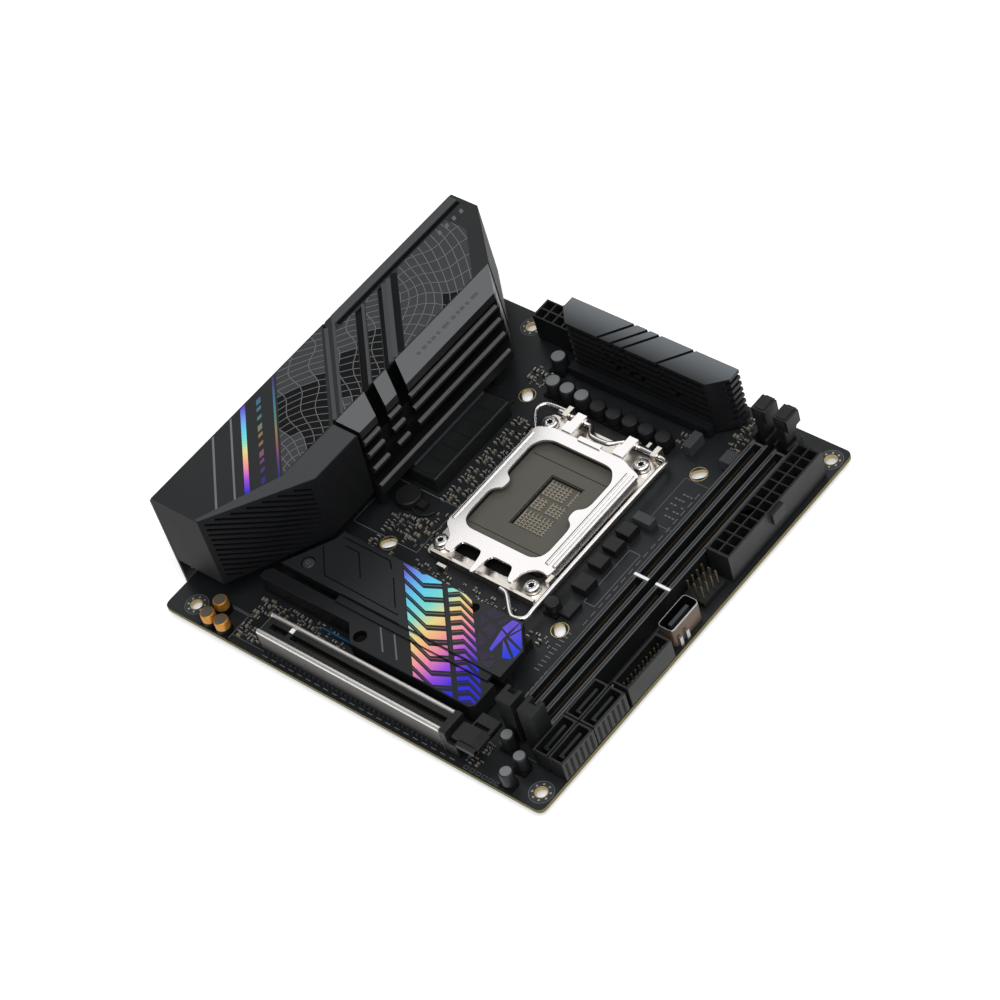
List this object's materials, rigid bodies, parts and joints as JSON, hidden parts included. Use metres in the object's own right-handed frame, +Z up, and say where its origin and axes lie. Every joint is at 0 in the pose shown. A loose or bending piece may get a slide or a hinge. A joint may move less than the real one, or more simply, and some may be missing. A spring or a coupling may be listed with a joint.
{
  "type": "motherboard",
  "caption": "Compact computer motherboard with processor socket, memory and expansion slots, finned heatsinks, drive bay cover and a tall rear port tower.",
  "frame": {"origin": "middle of the board's flat underside", "axes": "+X from the rear ports towards the memory slots, +Y from the expansion slot towards the processor power plug, +Z up from the board"},
  "size_m": [0.1791, 0.174, 0.0465],
  "materials": {
    "board_mask": "black solder mask over glass-fibre laminate, satin",
    "bright_steel": "nickel-plated stamped steel, soft satin",
    "port_steel": "tin-plated shells",
    "dark_steel": "black coated sheet steel",
    "socket_plastic": "warm grey contact field",
    "anodised": "black anodised, fine bead-blasted",
    "cover_grey": "dark grey satin with a fine printed web",
    "thermal_pad": "soft grey silicone",
    "chip": "moulded epoxy",
    "antenna_brass": "gold-plated threads",
    "capacitor_gold": "gold-tone sleeve",
    "capacitor_steel": "matte can top",
    "battery_sleeve": "black heat-shrink sleeve",
    "button_plastic": "dark grey moulded",
    "black_plastic": "glass-filled nylon, satin"
  },
  "bodies": {
    "board": {"antenna_block": "antenna_brass", "atx_power_header": "black_plastic", "audio_capacitor_1": "capacitor_gold", "audio_capacitor_2": "capacitor_gold", "audio_capacitor_3": "capacitor_gold", "audio_jack_block": "black_plastic", "button_housing": "black_plastic", "chipset": "chip", "chipset_heatsink": "anodised", "choke_bank": "chip", "circuit_board": "board_mask", "cmos_battery": "battery_sleeve", "corner_capacitor_1": "capacitor_steel", "corner_capacitor_2": "capacitor_steel", "corner_capacitor_3": "capacitor_steel", "cpu_socket": "socket_plastic", "dimm_slot_a": "black_plastic", "dimm_slot_b": "black_plastic", "eps_power_header": "black_plastic", "front_panel_header": "black_plastic", "ilm_frame": "bright_steel", "ilm_screw_1": "bright_steel", "ilm_screw_2": "bright_steel", "ilm_screw_3": "bright_steel", "ilm_screw_4": "bright_steel", "io_cover_front": "anodised", "io_cover_rear": "cover_grey", "io_shield": "dark_steel", "lan_usb_stack": "port_steel", "m2_cover": "anodised", "m2_pad": "thermal_pad", "m2_screw": "bright_steel", "m2_socket": "black_plastic", "m2_standoff": "bright_steel", "pcie_armour": "bright_steel", "pcie_slot": "black_plastic", "sata_port_1": "black_plastic", "sata_port_2": "black_plastic", "sata_port_3": "black_plastic", "sata_port_4": "black_plastic", "socket_backplate": "dark_steel", "usb3_header": "black_plastic", "usb_c_header": "port_steel", "usb_c_port": "port_steel", "usb_stack_1": "port_steel", "usb_stack_2": "port_steel", "video_stack": "port_steel", "vrm_heatsink_left": "anodised", "vrm_heatsink_top": "anodised", "vrm_pad_left": "thermal_pad", "vrm_pad_top": "thermal_pad"},
    "ilm_lever": {"ilm_lever": "bright_steel"},
    "ilm_load_plate": {"ilm_load_plate": "bright_steel"},
    "dimm_latch_a": {"dimm_latch_a": "black_plastic"},
    "dimm_latch_b": {"dimm_latch_b": "black_plastic"},
    "pcie_latch": {"pcie_latch": "black_plastic"},
    "bios_flash_button": {"bios_flash_button": "button_plastic"},
    "clear_cmos_button": {"clear_cmos_button": "button_plastic"}
  },
  "joints": [
    {"name": "ilm_lever_hinge", "type": "hinge", "parent": "board", "child": "ilm_lever", "pos_m": [0.00576, 0.0496, 0.0052], "axis": [-1, 0, 0], "range_deg": [0, 120]},
    {"name": "ilm_load_plate_hinge", "type": "hinge", "parent": "board", "child": "ilm_load_plate", "pos_m": [0.00576, 0.0496, 0.0052], "axis": [-1, 0, 0], "range_deg": [0, 105]},
    {"name": "pcie_latch_hinge", "type": "hinge", "parent": "board", "child": "pcie_latch", "pos_m": [0.047, -0.07725, 0.0072], "axis": [0, 1, 0], "range_deg": [0, 14], "stiffness_Nm_per_rad": 0.02},
    {"name": "dimm_latch_a_hinge", "type": "hinge", "parent": "board", "child": "dimm_latch_a", "pos_m": [0.0598, 0.0726, 0.0049], "axis": [-1, 0, 0], "range_deg": [0, 25]},
    {"name": "dimm_latch_b_hinge", "type": "hinge", "parent": "board", "child": "dimm_latch_b", "pos_m": [0.0688, 0.0726, 0.0049], "axis": [-1, 0, 0], "range_deg": [0, 25]},
    {"name": "bios_flash_button_slide", "type": "slide", "parent": "board", "child": "bios_flash_button", "axis": [1, 0, 0], "range_m": [0, 0.0008], "stiffness_N_per_m": 600},
    {"name": "clear_cmos_button_slide", "type": "slide", "parent": "board", "child": "clear_cmos_button", "axis": [1, 0, 0], "range_m": [0, 0.0008], "stiffness_N_per_m": 600}
  ]
}
